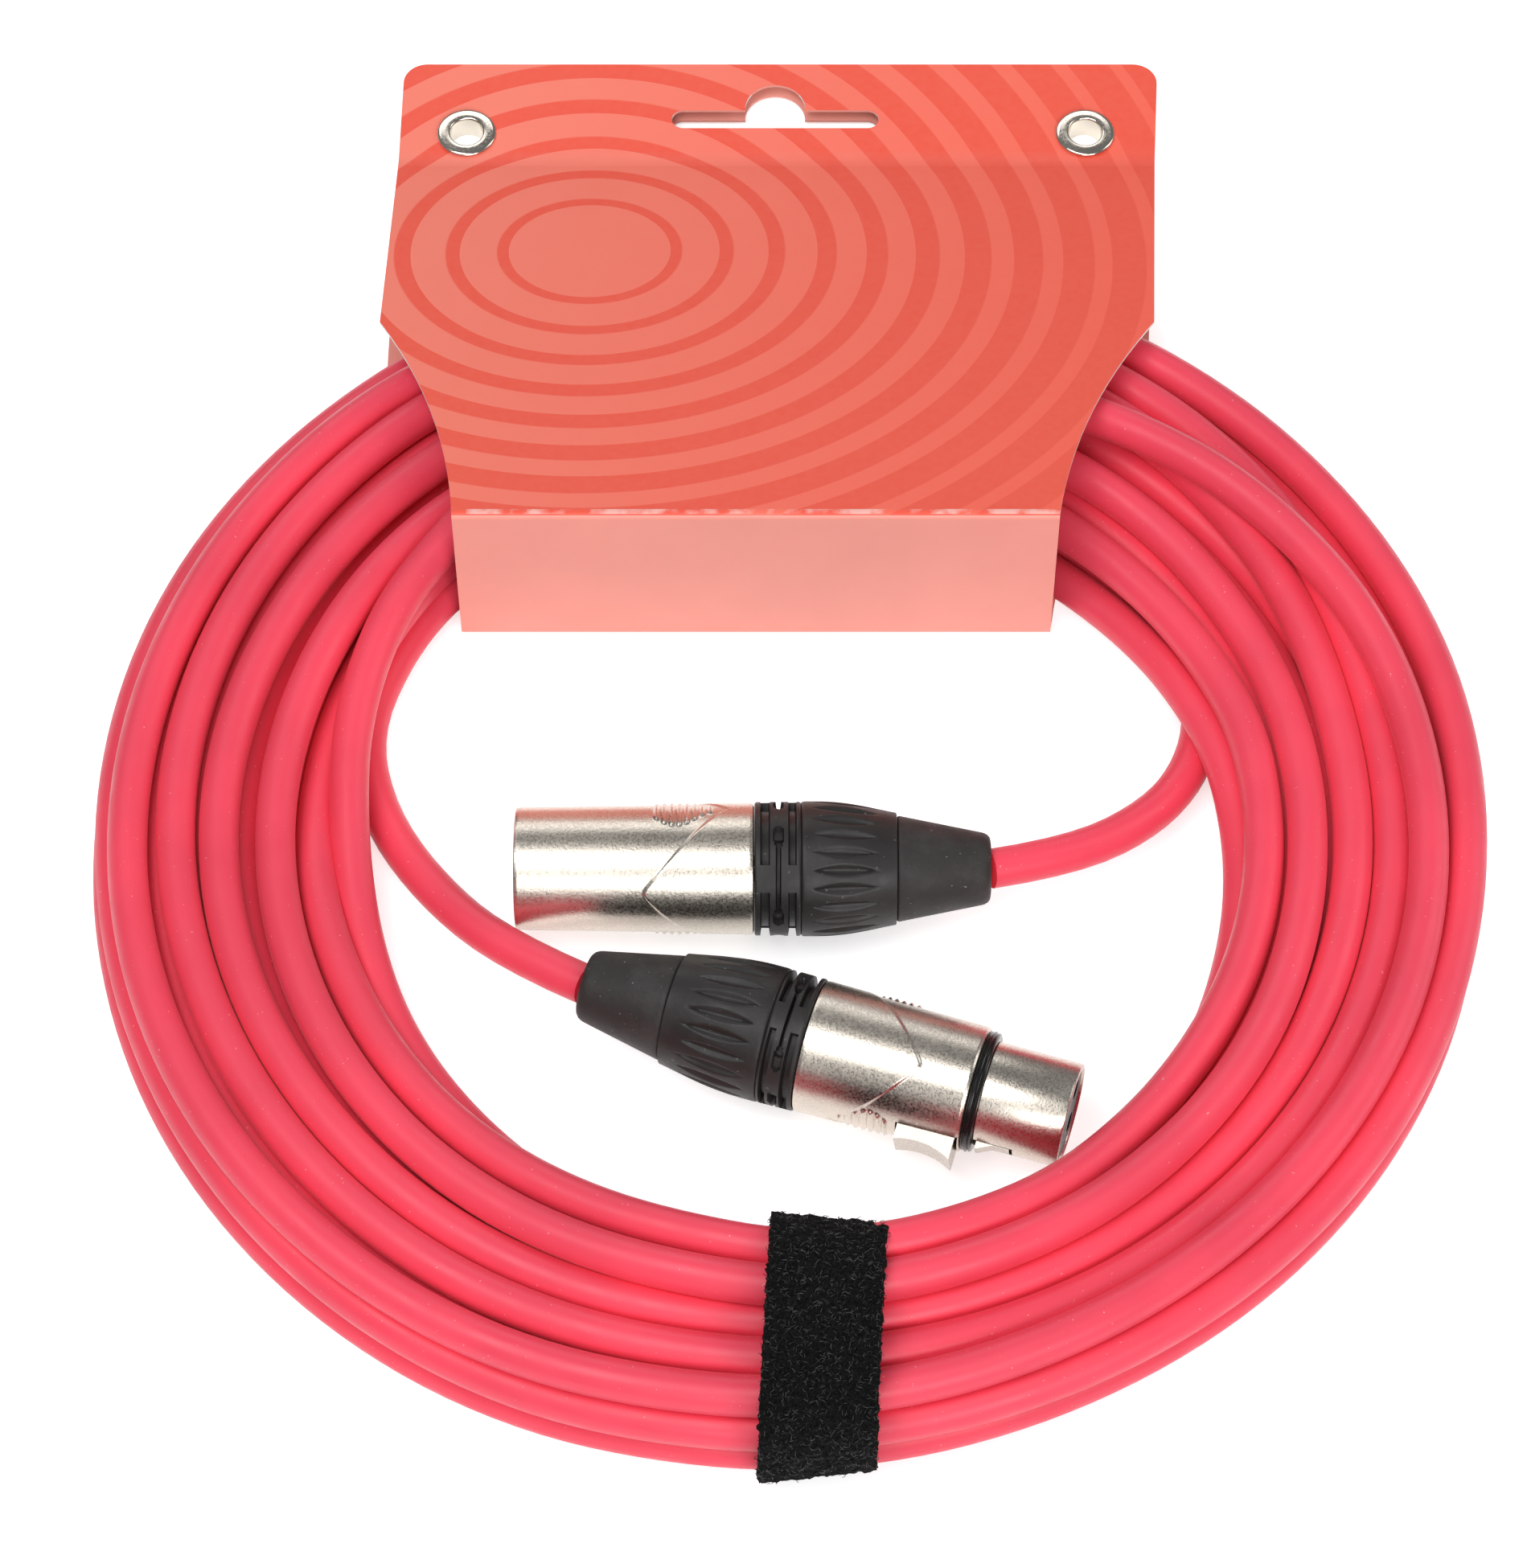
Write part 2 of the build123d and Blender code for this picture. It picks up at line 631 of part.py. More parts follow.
female_jacket_end = rear_set("female", female_side, female_axis, female_across,
                             female_shell_length, female_ring_end, female_nut_end, female_boot_end)
cores("female", female_across, -1, female_cup_end, female_jacket_end)

pivot_point = female_side.from_local_coords((latch_pivot, latch_pivot_radius, 0))
print("coil centre y", round(coil_y, 3))
print("latch pivot", [round(v, 3) for v in pivot_point], "axis", [round(v, 4) for v in female_side.z_dir])
print("tail root", round(strap_centre_y - strap_half_width - tail_gap - strap_thickness / 2, 3),
      round(strap_centre_z, 3))
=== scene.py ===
"""Microphone cable wound into a ring, with its two connectors, strap and hanging card, on a plain stage."""
import math
import random

import bmesh
import bpy
import numpy as np
from bpy.props import FloatProperty, FloatVectorProperty, IntProperty, PointerProperty
from mathutils import Matrix, Vector, noise


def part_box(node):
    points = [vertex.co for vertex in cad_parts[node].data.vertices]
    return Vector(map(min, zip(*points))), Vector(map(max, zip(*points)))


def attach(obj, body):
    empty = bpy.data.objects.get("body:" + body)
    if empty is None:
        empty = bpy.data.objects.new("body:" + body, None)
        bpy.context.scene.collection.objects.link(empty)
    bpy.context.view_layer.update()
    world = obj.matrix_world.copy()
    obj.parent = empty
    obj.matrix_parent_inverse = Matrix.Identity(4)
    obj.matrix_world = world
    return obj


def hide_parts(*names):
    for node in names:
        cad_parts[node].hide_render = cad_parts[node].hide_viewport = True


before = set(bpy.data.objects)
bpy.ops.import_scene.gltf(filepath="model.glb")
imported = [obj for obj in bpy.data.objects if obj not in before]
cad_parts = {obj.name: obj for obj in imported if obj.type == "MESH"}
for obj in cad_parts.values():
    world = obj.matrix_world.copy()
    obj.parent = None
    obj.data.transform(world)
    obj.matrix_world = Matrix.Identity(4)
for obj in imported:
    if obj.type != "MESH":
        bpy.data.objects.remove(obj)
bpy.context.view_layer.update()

bl_info = {
    "name": "Microphone cable coil",
    "version": (1, 0, 0),
    "blender": (4, 5, 0),
    "location": "View3D > Sidebar > Cable coil",
    "description": "Wound microphone cable with its connectors, strap and hanging card",
    "category": "Object",
}

MM = 0.001
COIL_Y = -22.15               # coil centre from the frame's origin, in millimetres
RING_OUTER = 107.4
STATION_STEP = 10.0           # degrees between the control points of a turn
STATIONS = 36
FIRST_ANGLE = 20.0
LAST_ANGLE = 17 * 360.0 + 150.0
STRAP_X = 5.1
STRAP_ANGLE = 273.0           # where the strap sits, in degrees round the coil
STRAP_REACH = 75.0            # coil centre to the inner side of the strapped turns
STRAP_LOW, STRAP_HIGH = 1.9, 24.3
STRAP_OUTWARDS = 1.6          # the strap's middle sits this much outside that of the turns
STRAP_TAKE_UP = 0.6
STRAP_SQUARENESS = 0.66       # 1 gives an ellipse, less gives fuller corners
STRAP_LEAN = 0.055
AXIS_HEIGHT = 10.5            # of both connectors above the floor
CARD_CENTRE = (-0.0322, 0.0862)  # middle of the printed bands, in metres
CARD_SLOPE = math.radians(17.6)
MALE_FRONT, MALE_HEADING, MALE_ROLL = (-41.4, -9.9), 0.0, -90.0
FEMALE_FRONT, FEMALE_HEADING, FEMALE_ROLL = (42.3, -52.8), 162.8, 15.0


# ------------------------------------------------------------------ settings
class CableSettings(bpy.types.PropertyGroup):
    diameter: FloatProperty(name="Diameter", description="Outer diameter of the jacket",
                            default=0.0062, unit="LENGTH", precision=4)
    length: FloatProperty(name="Length", description="Whole cable between the two boots",
                          default=9.7, unit="LENGTH")
    looseness: FloatProperty(name="Looseness", description="How far the free turns wander sideways",
                             default=0.0017, unit="LENGTH", precision=4)
    seed: IntProperty(name="Seed", description="Picks another lie of the turns", default=11)
    jacket: FloatVectorProperty(name="Jacket", description="Colour of the jacket", subtype="COLOR",
                                default=(0.90, 0.066, 0.114), min=0, max=1)


class ConnectorSettings(bpy.types.PropertyGroup):
    relief: FloatProperty(name="Relief", description="Height of the raised contour on the shells",
                          default=0.00024, unit="LENGTH", precision=5)
    flutes: IntProperty(name="Flutes", description="Finger flutes round each nut", default=22)
    flute_depth: FloatProperty(name="Flute depth", description="Depth of a flute at its middle",
                               default=0.0006, unit="LENGTH", precision=5)
    nickel: FloatVectorProperty(name="Nickel", description="Colour of the plated shells", subtype="COLOR",
                                default=(0.68, 0.62, 0.54), min=0, max=1)
    rubber: FloatVectorProperty(name="Boots and nuts", description="Colour of the black mouldings",
                                subtype="COLOR", default=(0.020, 0.018, 0.017), min=0, max=1)


class CardSettings(bpy.types.PropertyGroup):
    band_pitch: FloatProperty(name="Band pitch", description="Distance from one printed band to the next",
                              default=0.0081, unit="LENGTH", precision=4)
    print_dark: FloatVectorProperty(name="Print", description="Main colour of the print", subtype="COLOR",
                                    default=(0.93, 0.104, 0.060), min=0, max=1)
    print_pale: FloatVectorProperty(name="Pale bands", description="Colour of the pale bands",
                                    subtype="COLOR", default=(0.95, 0.225, 0.160), min=0, max=1)
    gusset: FloatVectorProperty(name="Gusset", description="Colour of the plain gusset", subtype="COLOR",
                                default=(0.98, 0.38, 0.31), min=0, max=1)


class StrapSettings(bpy.types.PropertyGroup):
    width: FloatProperty(name="Width", description="Width of the strap", default=0.0166, unit="LENGTH")
    fibres: IntProperty(name="Fibres", description="Loose fibres standing out of the pile", default=5200)
    seed: IntProperty(name="Seed", description="Picks another lie of the fibres", default=5)


class StageSettings(bpy.types.PropertyGroup):
    distance: FloatProperty(name="Camera distance", description="From the camera to the object",
                            default=0.7893, unit="LENGTH")
    elevation: FloatProperty(name="Camera elevation", description="Angle above the floor",
                             default=math.radians(57.99), subtype="ANGLE")
    lens: FloatProperty(name="Lens", description="Focal length for a 36 mm wide sensor", default=119.84)


# ------------------------------------------------------------------- helpers
def settings(name):
    return getattr(bpy.context.scene, "coil_" + name)


def at_coil(x, y, z):
    """A point given in millimetres from the middle of the coil, in metres in the frame."""
    return Vector((x, y + COIL_Y, z)) * MM


def smooth(t):
    t = np.clip(t, 0.0, 1.0)
    return t * t * (3 - 2 * t)


def connector_place(front, heading, roll):
    """Local x runs rearwards along the axis and local z points to the key or latch."""
    turn, tilt = math.radians(heading), math.radians(roll)
    rear = Vector((math.cos(turn), math.sin(turn), 0))
    level = Vector((0, 0, 1)).cross(rear)
    key = level * math.cos(tilt) - Vector((0, 0, 1)) * math.sin(tilt)
    place = Matrix((rear, key.cross(rear), key)).transposed().to_4x4()
    place.translation = at_coil(*front, AXIS_HEIGHT)
    return place


def finish_mesh(bm, name, material, place=Matrix(), sharp=40):
    """Make an object of a bmesh built in millimetres and put it in its place."""
    bmesh.ops.recalc_face_normals(bm, faces=bm.faces)
    bmesh.ops.scale(bm, vec=(MM, MM, MM), verts=bm.verts)
    bmesh.ops.transform(bm, matrix=place, verts=bm.verts)
    mesh = bpy.data.meshes.new(name)
    bm.to_mesh(mesh)
    bm.free()
    mesh.shade_smooth()
    mesh.set_sharp_from_angle(angle=math.radians(sharp))
    piece = bpy.data.objects.new(name, mesh)
    bpy.context.collection.objects.link(piece)
    mesh.materials.append(material)
    return piece


def turned(profile, steps, fine=None, relief=None):
    """Spin a closed profile of (along the axis, radius) points, then press a relief into its outside.

    fine is the longest edge along the profile; relief(s, angle) gives the change of radius.
    """
    bm = bmesh.new()
    rim = [bm.verts.new((s, 0, r)) for s, r in profile]
    edges = [bm.edges.new((a, b)) for a, b in zip(rim, rim[1:] + rim[:1])]
    if fine:
        widest = max(r for _, r in profile)
        for edge in edges:
            if relief and (edge.verts[0].co.z + edge.verts[1].co.z) / 2 < 0.9 * widest:
                continue
            cuts = int(edge.calc_length() / fine)
            if cuts:
                bmesh.ops.subdivide_edges(bm, edges=[edge], cuts=cuts)
    bmesh.ops.spin(bm, geom=bm.verts[:] + bm.edges[:], axis=(1, 0, 0), cent=(0, 0, 0),
                   angle=2 * math.pi, steps=steps, use_merge=True)
    bmesh.ops.remove_doubles(bm, verts=bm.verts, dist=1e-5)
    if relief:
        for v in bm.verts:
            radius = math.hypot(v.co.y, v.co.z)
            if radius > 1e-6:
                grow = relief(v.co.x, radius, math.degrees(math.atan2(-v.co.y, v.co.z)))
                v.co.yz = v.co.yz * (1 + grow / radius)
    return bm


def cut(piece, boxes, place):
    """Cut boxes, given as low and high corners in the piece's own axes, out of a piece."""
    for low, high in boxes:
        bm = bmesh.new()
        middle = (Vector(low) + Vector(high)) / 2
        bmesh.ops.create_cube(bm, size=1)
        bmesh.ops.scale(bm, vec=Vector(high) - Vector(low), verts=bm.verts)
        bmesh.ops.translate(bm, vec=middle, verts=bm.verts)
        cutter = finish_mesh(bm, "cutter", None, place)
        tool = piece.modifiers.new("window", "BOOLEAN")
        tool.operation, tool.solver, tool.object = "DIFFERENCE", "EXACT", cutter
        bpy.context.view_layer.update()
        mesh = bpy.data.meshes.new_from_object(piece.evaluated_get(bpy.context.evaluated_depsgraph_get()))
        piece.modifiers.clear()
        piece.data = mesh
        bpy.data.objects.remove(cutter)
    piece.data.set_sharp_from_angle(angle=math.radians(40))


def settle(piece, body, slot, *nodes):
    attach(piece, body)
    if nodes:
        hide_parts(*nodes)
    return piece


# ----------------------------------------------------------------- materials
class Shader:
    """A Principled material with short calls for the nodes that feed it."""

    def __init__(self, name, **sockets):
        self.material = bpy.data.materials.new(name)
        self.material.use_nodes = True
        self.tree = self.material.node_tree
        self.bsdf = self.tree.nodes["Principled BSDF"]
        for socket, value in sockets.items():
            self.bsdf.inputs[socket.replace("_", " ")].default_value = value
        self.place = self.tree.nodes.new("ShaderNodeTexCoord").outputs["Object"]

    def node(self, kind, inputs=(), output=0, **settings_):
        made = self.tree.nodes.new("ShaderNode" + kind)
        for key, value in settings_.items():
            setattr(made, key, value)
        for key, value in dict(inputs).items():
            if isinstance(value, bpy.types.NodeSocket):
                self.tree.links.new(value, made.inputs[key])
            else:
                made.inputs[key].default_value = value
        return made.outputs[output]

    def maths(self, operation, a, b=0.0, clamp=False):
        return self.node("Math", {0: a, 1: b}, operation=operation, use_clamp=clamp)

    def noise(self, scale, detail=2.0, rough=0.5, vector=None):
        return self.node("TexNoise", {"Vector": vector or self.place, "Scale": scale, "Detail": detail,
                                      "Roughness": rough})

    def spread(self, value, low, high, to_low=0.0, to_high=1.0):
        return self.node("MapRange", {"Value": value, "From Min": low, "From Max": high,
                                      "To Min": to_low, "To Max": to_high})

    def mix(self, factor, a, b):
        made = self.tree.nodes.new("ShaderNodeMix")
        made.data_type = "RGBA"
        for socket, value in ((made.inputs[0], factor), (made.inputs[6], a), (made.inputs[7], b)):
            if isinstance(value, bpy.types.NodeSocket):
                self.tree.links.new(value, socket)
            elif socket.name == "Factor":
                socket.default_value = value
            else:
                socket.default_value = (*value[:3], 1.0)
        return made.outputs[2]

    def bump(self, *layers):
        """Stack (height output, distance in millimetres) layers into the normal."""
        normal = None
        for height, distance in layers:
            inputs = {"Height": height, "Distance": distance * MM, "Strength": 1.0}
            if normal:
                inputs["Normal"] = normal
            normal = self.node("Bump", inputs)
        self.link(normal, "Normal")

    def link(self, output, socket):
        self.tree.links.new(output, self.bsdf.inputs[socket])


def shade(colour, factor):
    return [min(1.0, c * factor) for c in colour]


def jacket_material(cable):
    s = Shader("red_jacket", Roughness=0.42, Sheen_Weight=0.12, Sheen_Roughness=0.4)
    s.bsdf.inputs["Sheen Tint"].default_value = (1.0, 0.55, 0.60, 1)
    s.bsdf.inputs["Specular IOR Level"].default_value = 0.42
    cloud = s.noise(38.0, 3.0)
    speck = s.spread(s.noise(2100.0, 1.0), 0.76, 0.79)
    body = s.mix(s.spread(cloud, 0.35, 0.65), shade(cable.jacket, 0.93), shade(cable.jacket, 1.06))
    s.link(s.mix(s.maths("MULTIPLY", speck, 0.55), body, (0.95, 0.45, 0.45)), "Base Color")
    s.link(s.spread(s.noise(160.0, 4.0), 0.3, 0.7, 0.36, 0.50), "Roughness")
    s.bump((s.noise(55.0, 2.0), 0.25), (s.noise(900.0, 3.0), 0.02))
    return s.material


def nickel_material(name, colour, rough, sparkle):
    s = Shader(name, Metallic=1.0, Roughness=rough)
    grain = s.noise(2700.0, 2.0, 0.65)
    worn = s.noise(90.0, 4.0)
    tone = s.mix(s.spread(worn, 0.35, 0.65), shade(colour, 0.93), shade(colour, 1.05))
    s.link(tone, "Base Color")
    s.link(s.maths("ADD", s.spread(grain, 0.35, 0.65, rough - 0.06, rough + 0.08),
                   s.spread(worn, 0.3, 0.7, -0.03, 0.03)), "Roughness")
    s.bump((grain, sparkle), (worn, 0.03))
    return s.material


def moulded_material(name, colour, rough=0.5, dust=0.25, grain=0.03):
    s = Shader(name, Roughness=rough)
    s.bsdf.inputs["Specular IOR Level"].default_value = 0.4
    film = s.spread(s.noise(140.0, 6.0, 0.65), 0.48, 0.75)
    speck = s.spread(s.noise(1700.0, 1.0), 0.74, 0.78)
    body = s.mix(s.maths("MULTIPLY", film, dust), colour, [c + 0.05 for c in colour])
    s.link(s.mix(s.maths("MULTIPLY", speck, dust), body, (0.45, 0.43, 0.42)), "Base Color")
    s.link(s.spread(s.noise(260.0, 4.0), 0.3, 0.7, rough - 0.07, rough + 0.10), "Roughness")
    s.bump((s.noise(1500.0, 3.0), grain), (s.noise(120.0, 2.0), 0.06))
    return s.material


def card_material(card):
    """Printed bands on the front, a plain gusset and back, and bare paper on the cut edges and inside."""
    s = Shader("printed_card", Roughness=0.38)
    s.bsdf.inputs["Specular IOR Level"].default_value = 0.35
    where = s.tree.nodes.new("ShaderNodeSeparateXYZ")
    s.tree.links.new(s.place, where.inputs[0])
    x, y, z = where.outputs
    facing = s.tree.nodes.new("ShaderNodeSeparateXYZ")
    s.tree.links.new(s.node("NewGeometry", output="Normal"), facing.inputs[0])
    _, facing_y, facing_z = facing.outputs
    slope = math.cos(CARD_SLOPE)
    dx = s.maths("SUBTRACT", x, CARD_CENTRE[0])
    dy = s.maths("DIVIDE", s.maths("SUBTRACT", y, CARD_CENTRE[1]), slope)
    radius = s.maths("SQRT", s.maths("ADD", s.maths("MULTIPLY", dx, dx), s.maths("MULTIPLY", dy, dy)))
    ring = s.maths("FRACT", s.maths("SUBTRACT", s.maths("DIVIDE", radius, card.band_pitch), 0.65))
    duty = s.spread(radius, 0.012, 0.110, 0.22, 0.80)
    dark = s.spread(s.maths("SUBTRACT", duty, ring), -0.02, 0.02)
    start = s.spread(radius, 0.0130, 0.0134)
    dark = s.maths("MULTIPLY", dark, start)
    side = s.spread(s.maths("ADD", x, s.maths("MULTIPLY", y, -0.35)), -0.09, 0.06)
    pale = s.mix(side, shade(card.print_pale, 1.05), shade(card.print_dark, 1.08))
    fleck = s.spread(s.noise(700.0, 3.0), 0.3, 0.7, 0.0, 0.12)
    print_ = s.mix(fleck, s.mix(dark, pale, card.print_dark), card.print_pale)
    # Pale patchy streak along the fold at the top of the card: worn print, and partly a painted highlight on the
    # crease.
    fold_wear_and_highlight = s.maths("MULTIPLY", s.maths("GREATER_THAN", z, 0.03335),
                   s.spread(s.noise(240.0, 5.0), 0.42, 0.60))
    print_ = s.mix(s.maths("MULTIPLY", fold_wear_and_highlight, 0.65), print_, (0.97, 0.66, 0.60))
    gusset = s.mix(s.spread(s.noise(60.0, 4.0), 0.3, 0.7), card.gusset, shade(card.gusset, 0.94))
    paper = s.mix(s.noise(1500.0, 3.0), (0.84, 0.83, 0.80), (0.90, 0.89, 0.86))
    on_front = s.maths("MULTIPLY", s.maths("GREATER_THAN", facing_z, 0.5), s.maths("GREATER_THAN", z, 0.002))
    behind = s.maths("LESS_THAN", z, 0.0021)
    on_gusset = s.maths("MAXIMUM", s.maths("LESS_THAN", facing_y, -0.6), behind)
    colour = s.mix(on_gusset, s.mix(on_front, paper, print_), gusset)
    s.link(colour, "Base Color")
    s.link(s.spread(s.noise(220.0, 4.0), 0.3, 0.7, 0.32, 0.44), "Roughness")
    s.bump((s.noise(2200.0, 3.0), 0.01), (s.noise(28.0, 2.0), 0.35), (fold_wear_and_highlight, 0.03))
    return s.material


def pile_material():
    s = Shader("hook_and_loop", Roughness=0.95, Sheen_Weight=0.03, Sheen_Roughness=0.5)
    s.bsdf.inputs["Specular IOR Level"].default_value = 0.06
    tuft = s.node("TexVoronoi", {"Vector": s.place, "Scale": 1250.0})
    fuzz = s.noise(2600.0, 6.0, 0.7)
    s.link(s.mix(s.spread(fuzz, 0.42, 0.72), (0.0022, 0.0020, 0.0020), (0.017, 0.016, 0.016)), "Base Color")
    s.bump((tuft, 0.35), (fuzz, 0.25))
    return s.material


def fibre_material():
    s = Shader("strap_fibre", Roughness=0.6)
    s.link(s.mix(s.spread(s.noise(900.0, 2.0), 0.35, 0.65), (0.003, 0.003, 0.003), (0.060, 0.057, 0.056)),
           "Base Color")
    s.bump((s.noise(9000.0, 1.0), 0.01))
    return s.material


def brass_material():
    s = Shader("contact_brass", Metallic=1.0, Roughness=0.25)
    s.link(s.mix(s.spread(s.noise(300.0, 4.0), 0.4, 0.7), (0.72, 0.70, 0.64), (0.50, 0.46, 0.38)), "Base Color")
    s.bump((s.noise(4000.0, 2.0), 0.008))
    return s.material


# --------------------------------------------------------------------- cable
def ring_inner(angle):
    """Clear inner radius of the wound ring, in millimetres, at an angle in degrees."""
    stops = (0, 30, 60, 90, 120, 150, 180, 210, 240, 270, 300, 330, 360)
    edges = (62.5, 60.0, 60.5, 63.0, 66.0, 67.5, 64.0, 64.0, 68.0, 75.0, 76.0, 71.0, 62.5)
    return np.interp(angle % 360, stops, edges)


def bump_at(angle, middle, half_width):
    away = np.abs((angle - middle + 180) % 360 - 180)
    return smooth(1 - away / half_width)


def turn_places():
    """(share of the way from the ring's inside to its outside, layer) of each turn, in winding order."""
    floor_layer = [(i / 6, 0) for i in range(1, 7)]
    second_layer = [((i + 0.5) / 6, 1) for i in range(5, -1, -1)]
    top_layer = [(share, 2) for share in (0.2, 0.45, 0.7, 1.0)]
    return np.array([(0.22, 0)] + floor_layer + second_layer + top_layer + [(0.0, 1.1), (0.0, 0)])


def turn_progress(angle):
    """How far the cable has got through turn_places at each angle: it changes places mostly under the card."""
    turn = np.floor((angle + 60) / 360)
    within = angle - 360 * turn
    outwards = (turn >= 1) & (turn <= 6)
    crossing = turn == 16
    start = np.where(outwards, -30.0, np.where(crossing, 6.0, 45.0))
    end = np.where(outwards, 30.0, np.where(crossing, 118.0, 135.0))
    share = smooth((within - start) / (end - start))
    return turn + share, turn, share


def relaxed_turns(cable):
    """Radius and height in millimetres of every station of the wound turns, with the turns lying on each other."""
    size = cable.diameter / MM
    half = size / 2
    angle = np.arange(FIRST_ANGLE, LAST_ANGLE + 1, STATION_STEP)
    count = len(angle)
    places = turn_places()
    index, turn, share = turn_progress(angle)
    low = np.minimum(np.floor(index).astype(int), len(places) - 2)
    blend = (index - low)[:, None]
    place = places[low] * (1 - blend) + places[low + 1] * blend
    inner = ring_inner(angle) + half
    outer = RING_OUTER - half
    body = (index < 16.5) & (index > 0.2)
    gap = 4.2 * bump_at(angle, 153, 36) * body
    wander = sum(np.sin(np.radians(angle * 360 / wave + phase)) * part for wave, phase, part in (
        (523.0, 40.0 + 7 * cable.seed, 1.0), (287.0, 13.0 * cable.seed, 0.8), (171.0, 31.0 * cable.seed, 0.45)))
    free = np.clip(1.15 - bump_at(angle, STRAP_ANGLE, 48) - 0.8 * bump_at(angle, 90, 50), 0, 1)
    target = inner + gap + place[:, 0] * (outer - inner - gap)
    target += wander * free * (cable.looseness / MM) * (0.45 + 0.5 * place[:, 1]) * body
    target = np.clip(target, inner, outer)
    height = half + 0.2 + 5.4 * place[:, 1]
    height += 3.0 * bump_at(angle, STRAP_ANGLE, 40) * (np.arange(count) // STATIONS % 2)
    crossing = (turn == 16) & (share > 0) & (share < 1)
    height += np.where(crossing, 8.0 * np.sin(np.pi * share), 0.0)
    # The two leads where they pass under the innermost turns: angle, radius, height.
    lead = np.array([(0, 53.5, 6.2), (10, 65.0, 4.0), (160, 69.8, 3.2), (170, 66.8, 3.4), (180, 61.4, 4.0)])
    radius = np.concatenate((target, lead[:, 1]))
    z = np.concatenate((height, lead[:, 2]))
    goal = radius.copy()
    station = np.rint(np.concatenate((angle, lead[:, 0])) / STATION_STEP).astype(int) % STATIONS
    pinned = np.zeros(len(radius), bool)
    pinned[[0, 1, count - 2, count - 1]] = True
    pinned[count:] = True
    radius[[0, 1]] = (70.1, 72.3)
    z[[0, 1]] = (3.3, 3.2)
    radius[[count - 2, count - 1]] = (70.4, 70.6)
    z[[count - 2, count - 1]] = (4.4, 3.3)
    held_radius, held_z = radius[pinned].copy(), z[pinned].copy()
    rows = [np.flatnonzero(station == k) for k in range(STATIONS)]
    width = max(len(row) for row in rows)
    table = np.zeros((STATIONS, width), int)
    real = np.zeros((STATIONS, width), bool)
    for k, row in enumerate(rows):
        table[k, :len(row)] = row
        real[k, :len(row)] = True
    pair = real[:, :, None] & real[:, None, :] & ~np.eye(width, dtype=bool)
    all_angle = np.concatenate((angle, lead[:, 0]))
    turned_by = np.radians(all_angle)
    least = ring_inner(all_angle) + half + 2.2 * bump_at(all_angle, STRAP_ANGLE, 32)
    lead_slope = np.array([1.2, 1.1, -0.3, -0.5, -0.8])
    strap_zone = bump_at(all_angle, STRAP_ANGLE, 14) > 0.0
    for step in range(900):
        slope = np.zeros(len(radius))
        slope[1:count - 1] = (radius[2:count] - radius[:count - 2]) / 2 / np.radians(STATION_STEP)
        slope[:count] /= radius[:count]
        slope[count:] = lead_slope
        r, h, s = radius[table], z[table], slope[table]
        lean = 1 / np.sqrt(1 + (s[:, :, None] - s[:, None, :]) ** 2)
        dr = (r[:, :, None] - r[:, None, :]) * lean
        dz = h[:, :, None] - h[:, None, :]
        apart = np.sqrt(dr * dr + dz * dz) + 1e-6
        push = np.where(pair & (apart < size), 0.5 * (size - apart) / apart, 0.0)
        radius[table[real]] += 0.55 * (push * dr).sum(2)[real]
        z[table[real]] += 0.55 * (push * dz).sum(2)[real]
        z -= 0.10 if step < 600 else 0.02
        if step < 700:
            radius += 0.012 * (goal - radius)
        ease = 0.22 if step < 800 else 0.06
        for value in (radius, z):
            value[1:count - 1] += ease * ((value[:count - 2] + value[2:count]) / 2 - value[1:count - 1])
        x, y = radius * np.cos(turned_by), radius * np.sin(turned_by)
        carded = (y > 40) & (np.abs(x + 3) < 60)
        under = np.where(carded, 29.6 - 0.3176 * (y - 40 + 0.09 * np.abs(x)), 40.0)
        ground = np.where(carded, 1.3, 0.1) + half
        ground = np.where(strap_zone, 2.0 + half, ground)
        under = np.where(strap_zone, 24.2 - half, under)
        z = np.clip(z, ground, np.maximum(under, ground))
        radius = np.clip(radius, least, outer)
        in_gusset = (np.abs(x + 4.7) < 50) & (y > 30) & (y < 43.8)
        radius = np.where(in_gusset, np.maximum(radius, 43.8 / np.maximum(np.sin(turned_by), 0.3)), radius)
        radius[pinned], z[pinned] = held_radius, held_z
    return turned_by[:count], radius[:count], z[:count]


def cable_points(cable):
    """Control points of the whole cable, from the male boot round the ring to the female boot."""
    into_ring = [(31.3, -9.9, 10.5), (44.5, -6.4, 8.6), (57.2, 2.6, 5.6), (63.9, 12.6, 3.9)]
    to_boot = [(-66.9, 19.6, 3.2), (-63.4, 3.5, 3.7), (-54.4, -11.0, 5.6), (-42.8, -23.2, 8.6),
               (-30.4, -30.3, 10.5)]
    angle, radius, z = relaxed_turns(cable)
    # A spline of this order pulls in by this share of its radius.
    grow = 1 / (0.75 + 0.25 * math.cos(math.radians(STATION_STEP)))
    ring = [(grow * r * math.cos(a), grow * r * math.sin(a), h) for a, r, h in zip(angle, radius, z)]
    return [at_coil(*p) for p in into_ring + ring + to_boot]


class COIL_OT_cable(bpy.types.Operator):
    """Lay the whole cable, from boot to boot, as one smooth tube"""
    bl_idname = "coil.cable"
    bl_label = "Cable"

    def execute(self, context):
        cable = settings("cable")
        curve = bpy.data.curves.new("cable", "CURVE")
        curve.dimensions = "3D"
        points = cable_points(cable)
        spline = curve.splines.new("NURBS")
        spline.points.add(len(points) - 1)
        for point, place in zip(spline.points, points):
            point.co = (*place, 1)
        spline.order_u = 3
        spline.use_endpoint_u = True
        spline.resolution_u = 5
        curve.bevel_depth = cable.diameter / 2
        curve.bevel_resolution = 6
        curve.use_fill_caps = True
        piece = bpy.data.objects.new("cable", curve)
        context.collection.objects.link(piece)
        curve.materials.append(jacket_material(cable))
        settle(piece, "root", "red_jacket", "cable_coil", "cable_lead_male", "cable_lead_female")
        return {"FINISHED"}


